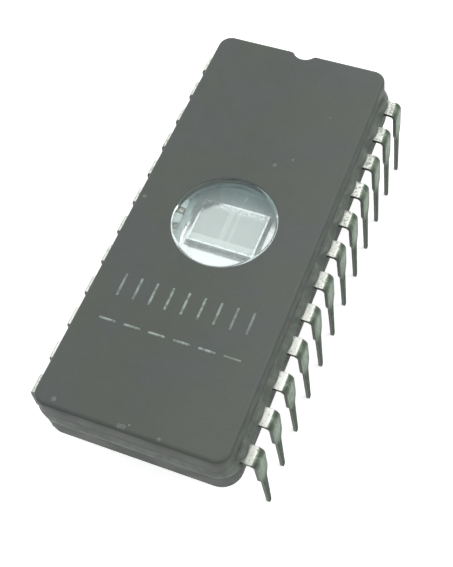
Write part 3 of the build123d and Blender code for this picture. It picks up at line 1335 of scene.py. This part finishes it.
@dataclass
class SealGlass:
    """The fired glass between the halves: a band with a lobe round each lead, and the inner ledge."""

    body: CeramicBody
    frame: LeadFrame
    bead: float = 0.05
    bead_sink: float = 0.02
    creep: float = 0.11
    band_depth: float = 1.0
    lobe_root: float = 6.2
    lobe_reach: float = 0.55
    lobe_half_height: float = 0.4
    levels: int = 18
    ledge_gap: float = 0.015
    ledge_overlap: float = 0.5

    def crept(self) -> tuple[float, float]:
        """Heights between which the outer glass lies, with its creep onto the walls."""
        low, high = box("seal_glass")
        return low.z - self.creep / 2, high.z + self.creep

    def ring(self, mesh: Mesh, share: float) -> Ring:
        """Draw the glass's outline at one level between the two halves.

        Args:
            mesh: The mesh to draw in.
            share: 0 at the base's wall and 1 at the lid's.

        Returns:
            The outline's edges.
        """
        bottom, top = self.crept()
        height = bottom + share * (top - bottom)
        ease = share * share * (3 - 2 * share)
        shift = ease * middle_of("lid").x
        base = self.body.outline("base", self.body.base_corner)
        lid = self.body.outline("lid", self.body.lid_corner)
        swell = self.bead * math.sin(math.pi * share) ** 0.5 - self.bead_sink
        half_width = base.half_width + ease * (lid.half_width - base.half_width) + swell
        half_length = base.half_length + ease * (lid.half_length - base.half_length) + swell
        rise = (height - self.frame.plane) / self.lobe_half_height
        reach = self.lobe_root + self.lobe_reach * math.sqrt(max(0, 1 - rise * rise)) - half_width
        outline = LobedOutline(
            half_width, half_length, base.corner + ease * (lid.corner - base.corner),
            rows=[self.frame.lead_y(row) for row in range(self.frame.per_side)],
            east_reach=max(HAIR, reach - shift), west_reach=max(HAIR, reach + shift))
        edges = outline.draw(mesh, height, 0)
        verts = list({vert for edge in edges for vert in edge.verts})
        bmesh.ops.translate(mesh, vec=EAST * shift, verts=verts)
        return edges

    def build_meniscus(self, glass: Material) -> None:
        """Model the outer band with a lobe round each lead.

        Args:
            glass: Finish of the seal glass.
        """
        work = Workpiece("seal_meniscus")
        outer = [self.ring(work.mesh, level / self.levels) for level in range(self.levels + 1)]
        work.bridge(outer)
        bmesh.ops.smooth_vert(
            work.mesh, verts=work.mesh.verts[:], factor=0.5, use_axis_x=True, use_axis_y=True)
        lid = self.body.outline("lid", self.body.lid_corner)
        width, length = 2 * (lid.half_width - self.band_depth), 2 * (lid.half_length - self.band_depth)
        inner = [self.body.pocket(work.mesh, width, length, z) for z in self.crept()]
        work.bridge(inner)
        work.fill(outer[0], inner[0])
        work.fill(outer[-1], inner[-1])
        work.finish([glass], ["seal_glass"], even_normals=False)

    def build_ledge(self, glass: Material) -> None:
        """Model the glass that lies round the cavity, under the recess.

        Args:
            glass: Finish of the seal glass.
        """
        low, high = box("seal_glass")
        body, land = self.body, 2 * self.ledge_overlap
        ledge = self.frame.plane + self.frame.thickness / 2 - self.ledge_gap
        work = Workpiece("seal_ledge")
        cavity = [body.pocket(work.mesh, body.cavity_width, body.cavity_length, z) for z in (low.z, ledge)]
        recess = [body.pocket(work.mesh, body.recess_width, body.recess_length, z, middle_of("lid").x)
                  for z in (ledge, high.z)]
        outside = [body.pocket(work.mesh, body.recess_width + land, body.recess_length + land, z)
                   for z in (high.z, low.z)]
        work.fill(outside[1], cavity[0])
        work.bridge(cavity)
        work.fill(cavity[1], recess[0])
        work.bridge(recess)
        work.fill(recess[1], outside[0])
        work.bridge(outside)
        work.finish([glass], ["seal_glass"])


@dataclass
class BondWires:
    """Aluminium wires from the pads near the die's edge to the bare tops of the fingers."""

    frame: LeadFrame
    pad_inset: float = 0.16
    foot_inset: float = 0.3
    wire_radius: float = 0.01
    loop_rise: float = 0.24
    steep_share: float = 0.06
    crest_share: float = 0.45
    fall_share: float = 0.8
    fall_rise: float = 0.06
    foot_size: tuple[float, float, float] = (0.07, 0.045, 0.02)

    def feet(self, side: int, row: int) -> tuple[Vector, Vector]:
        """Where a wire starts and ends.

        Args:
            side: -1 for the western row, 1 for the eastern.
            row: The row, counted from the notch end.

        Returns:
            The foot on the die, and the foot on the finger.
        """
        tip, inward = self.frame.finger_tip(side, row)
        low, high = box("die")
        size, middle = high - low, middle_of("die")
        half_rows = self.frame.per_side / 2 - 1
        margin = 4 * self.pad_inset
        if inward.x:
            spread = (size.y - margin) / (self.frame.side_tip_pitch * half_rows)
            pad = Vector((-inward.x * (size.x / 2 - self.pad_inset), tip.y * spread, 0))
        else:
            spread = (size.x - margin) / (self.frame.end_tip_pitch * half_rows)
            pad = Vector((tip.x * spread, -inward.y * (size.y / 2 - self.pad_inset), 0))
        finger_top = self.frame.plane + self.frame.thickness / 2
        start = pad + Vector((middle.x, middle.y, high.z + self.wire_radius))
        end = tip - inward * self.foot_inset + UP * (finger_top + self.wire_radius)
        return start, end

    def loop(self, work: Workpiece, start: Vector, end: Vector) -> None:
        """Draw the round wire from foot to foot.

        Args:
            work: The workpiece to draw in.
            start: The foot on the die.
            end: The foot on the finger.
        """
        curve = bpy.data.curves.new("loop", "CURVE")
        curve.dimensions = "3D"
        curve.bevel_depth = self.wire_radius
        curve.bevel_resolution = 2
        curve.use_fill_caps = True
        spline = curve.splines.new("NURBS")
        crest = max(start.z, end.z) + self.loop_rise
        course = ((0, start.z), (self.steep_share, crest), (self.crest_share, crest),
                  (self.fall_share, end.z + self.fall_rise), (1, end.z))
        spline.points.add(len(course) - 1)
        for point, (share, height) in zip(spline.points, course):
            place = start.lerp(end, share)
            point.co = (place.x, place.y, height, 1)
        spline.order_u = 3
        spline.use_endpoint_u = True
        spline.resolution_u = 6
        carrier = bpy.data.objects.new("loop", curve)
        tube = bpy.data.meshes.new_from_object(carrier)
        work.mesh.from_mesh(tube)
        bpy.data.objects.remove(carrier)
        bpy.data.curves.remove(curve)
        bpy.data.meshes.remove(tube)

    def foot(self, work: Workpiece, place: Vector, heading: Vector) -> None:
        """Draw the flattened foot of a wire.

        Args:
            work: The workpiece to draw in.
            place: Middle of the foot.
            heading: Which way the wire runs.
        """
        turn = Matrix.Rotation(math.atan2(heading.y, heading.x), 4, "Z")
        size = Matrix.Diagonal((*self.foot_size, 1))
        bmesh.ops.create_uvsphere(
            work.mesh, u_segments=12, v_segments=6, radius=1,
            matrix=Matrix.Translation(place) @ turn @ size)

    def build(self, metal: Material) -> None:
        """Model each wire as a round loop with flattened feet.

        Args:
            metal: Finish of the wires.
        """
        for number, side, row in self.frame.places():
            start, end = self.feet(side, row)
            work = Workpiece(f"wire_loop_{number:02d}")
            self.loop(work, start, end)
            for foot in (start, end):
                self.foot(work, foot, end - start)
            work.finish([metal], [f"bond_wire_{number:02d}"], even_normals=False)


class Stroke(Enum):
    """The two ways that a plain stroke lies on the lid."""

    UPRIGHT = "upright"
    DASH = "dash"


@dataclass(frozen=True)
class StrokeRow:
    """One even row of equal strokes."""

    kind: Stroke
    length: float
    count: int
    first_x: float
    pitch: float
    y: float


@dataclass
class InkMarks:
    """Plain ink strokes in even rows, which say nothing."""

    width: float = 0.17
    height: float = 0.006
    rows: tuple[StrokeRow, ...] = (
        StrokeRow(Stroke.UPRIGHT, length=1.5, count=9, first_x=-4.62, pitch=1.1, y=-6.6),
        StrokeRow(Stroke.DASH, length=1.0, count=6, first_x=-4.42, pitch=1.68, y=-9.2))

    def stroke(self, work: Workpiece, row: StrokeRow, x: float) -> None:
        """Draw one stroke with round ends.

        Args:
            work: The workpiece to draw in.
            row: The row that the stroke stands in.
            x: The stroke's middle.
        """
        top = box("lid")[1].z
        reach, half = row.length / 2, self.width / 2
        before = len(work.mesh.verts)
        pen = Pen(work.mesh, (half, -reach, top))
        pen.line((half, reach, top))
        pen.arc((0, reach, top), 180, 8)
        pen.line((-half, -reach, top))
        pen.arc((0, -reach, top), 180, 8)
        work.fill(work.extrude(pen.close(), (0, 0, self.height)))
        work.mesh.verts.ensure_lookup_table()
        turn = Matrix.Rotation(0 if row.kind is Stroke.UPRIGHT else math.pi / 2, 4, "Z")
        place = Matrix.Translation((x, row.y, 0)) @ turn
        bmesh.ops.transform(work.mesh, matrix=place, verts=work.mesh.verts[before:])

    def build(self, ink: Material) -> None:
        """Model the rows of strokes.

        Args:
            ink: Finish of the ink.
        """
        work = Workpiece("ink_strokes")
        for row in self.rows:
            for place in range(row.count):
                self.stroke(work, row, row.first_x + row.pitch * place)
        work.finish([ink], even_normals=False)


@dataclass
class Studio:
    """White paper, soft light from behind and the right, and the photograph's camera."""

    paper_size: float = 3.0
    eye: tuple[float, float, float] = (19.02, -34.9, 65.99)
    azimuth: float = 25.94
    elevation: float = 56.26
    roll: float = -6.07
    lens: float = 67.5
    shift_x: float = -0.054
    shift_y: float = -0.0838
    sky_tint: Colour = (0.98, 0.99, 1.0, 1)
    sky_from: tuple[float, float, float] = (-0.15, 0.75, 0.6)
    front_lean: float = -0.5
    front_light: float = 0.36
    rear_lean: float = 0.75
    rear_light: float = 1.2
    lamp_brightness: float = 3.0
    lamp_size: float = 0.25
    lamp_place: tuple[float, float, float] = (0.28, 0.2, 0.42)

    def build_paper(self) -> None:
        """Lay the paper that the chip stands on."""
        mesh = bmesh.new()
        bmesh.ops.create_grid(mesh, x_segments=4, y_segments=4, size=self.paper_size / 2)
        data = bpy.data.meshes.new("paper")
        mesh.to_mesh(data)
        mesh.free()
        data.materials.append(PaperFinish().material())
        link_object("paper", data)

    def build_sky(self) -> None:
        """Light the chip from all round, more from behind than from the front."""
        world = bpy.data.worlds.new("studio")
        bpy.context.scene.world = world
        sky = Nodes(world)
        place = sky.node("ShaderNodeTexCoord").outputs["Generated"]
        lean = sky.node("ShaderNodeVectorMath", {0: place, 1: Vector(self.sky_from).normalized()})
        lean.operation = "DOT_PRODUCT"
        strength = sky.ramp(
            lean.outputs["Value"], self.front_lean, self.rear_lean, self.front_light, self.rear_light)
        light = sky.node("ShaderNodeBackground", {"Color": self.sky_tint, "Strength": strength})
        sky.node("ShaderNodeOutputWorld", {"Surface": light.outputs[0]})

    def build_lamp(self) -> None:
        """Hang the soft lamp."""
        light = bpy.data.lights.new("soft_lamp", "AREA")
        light.shape = "SQUARE"
        light.size = self.lamp_size
        light.energy = math.pi * self.lamp_size**2 * self.lamp_brightness
        lamp = link_object("soft_lamp", light)
        lamp.location = self.lamp_place
        lamp.rotation_euler = Vector(self.lamp_place).to_track_quat("Z", "Y").to_euler()

    def build_camera(self) -> None:
        """Set the camera where the photograph was taken from."""
        azimuth, elevation, roll = (math.radians(a) for a in (self.azimuth, self.elevation, self.roll))
        back = Vector((math.sin(azimuth) * math.cos(elevation),
                       -math.cos(azimuth) * math.cos(elevation), math.sin(elevation)))
        right = UP.cross(back).normalized()
        above = back.cross(right)
        turned_right = math.cos(roll) * right + math.sin(roll) * above
        turned_above = -math.sin(roll) * right + math.cos(roll) * above
        view = bpy.data.cameras.new("camera")
        view.lens = self.lens
        view.shift_x = self.shift_x
        view.shift_y = self.shift_y
        view.clip_start = MM
        camera = link_object("camera", view)
        turn = Matrix((turned_right, turned_above, back)).transposed().to_4x4()
        camera.matrix_world = Matrix.Translation(Vector(self.eye) * MM) @ turn
        bpy.context.scene.camera = camera

    def build(self) -> None:
        """Set up the whole studio."""
        self.build_paper()
        self.build_sky()
        self.build_lamp()
        self.build_camera()
        bpy.context.scene.view_settings.view_transform = "Standard"


def main() -> None:
    """Load the frame, then build and dress the chip piece by piece."""
    logging.basicConfig(level=logging.INFO, format="%(name)s: %(message)s")
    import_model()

    lid_top = box("lid")[1].z
    scuffs = ((-5.15, -15.2, 0.22), (-0.72, -15.45, 0.2), (-0.45, -15.42, 0.22), (1.86, -15.45, 0.16),
              (-6.1, 0.2, 0.2), (3.54, 10.5, 0.1), (2.34, 6.2, 0.13), (1.3, 5.4, 0.2))
    ceramic = CeramicFinish(
        "lid_ceramic_dark", warm=tone(85, 90, 83), cool=tone(85, 89, 88), shade_band_top=lid_top,
        bore_middle=middle_of("window_lens").xy[:], scuffs=scuffs)
    # The base is the same ceramic as the lid; its darker tone is painted shade for walls that lean to face
    # down.
    shaded_base_ceramic = CeramicFinish(
        "base_ceramic_painted_shade", warm=tone(59, 66, 57), cool=tone(59, 65, 61), paler_share=0.0)
    lining = LiningFinish().material()
    body = CeramicBody()
    body.build_lid(ceramic.material(), lining)
    body.build_base(shaded_base_ceramic.material(), lining)

    leads = LeadFrame(body)
    sheared = MetalFinish(
        "sheared_edge", light=(0.13, 0.14, 0.125, 1), dark=(0.06, 0.065, 0.058, 1), roughness=0.5)
    leads.build(TinPlateFinish().material(), sheared.material())

    seal = SealGlass(body, leads)
    seal.build_meniscus(SealGlassFinish().material())
    seal.build_ledge(LiningFinish("seal_glass_inner", bore_foot=lid_top).material())

    Window().build(WindowGlassFinish().material())

    dress_node("cavity_metal", PlatingFinish().material())
    paste = MetalFinish(
        "attach_paste", light=(0.75, 0.78, 0.77, 1), dark=(0.55, 0.58, 0.57, 1), roughness=0.5,
        patch_size=0.12, ripple_depth=0.02)
    dress_node("die_attach", paste.material())
    dress_node("die", DieFinish("silicon_face", *box("die")).material())
    wire = MetalFinish(
        "aluminium_wire", light=(0.8, 0.83, 0.82, 1), dark=(0.6, 0.63, 0.62, 1), roughness=0.3,
        patch_size=0.1)
    BondWires(leads).build(wire.material())

    InkMarks().build(InkFinish().material())
    Studio().build()


if __name__ == "__main__":
    main()
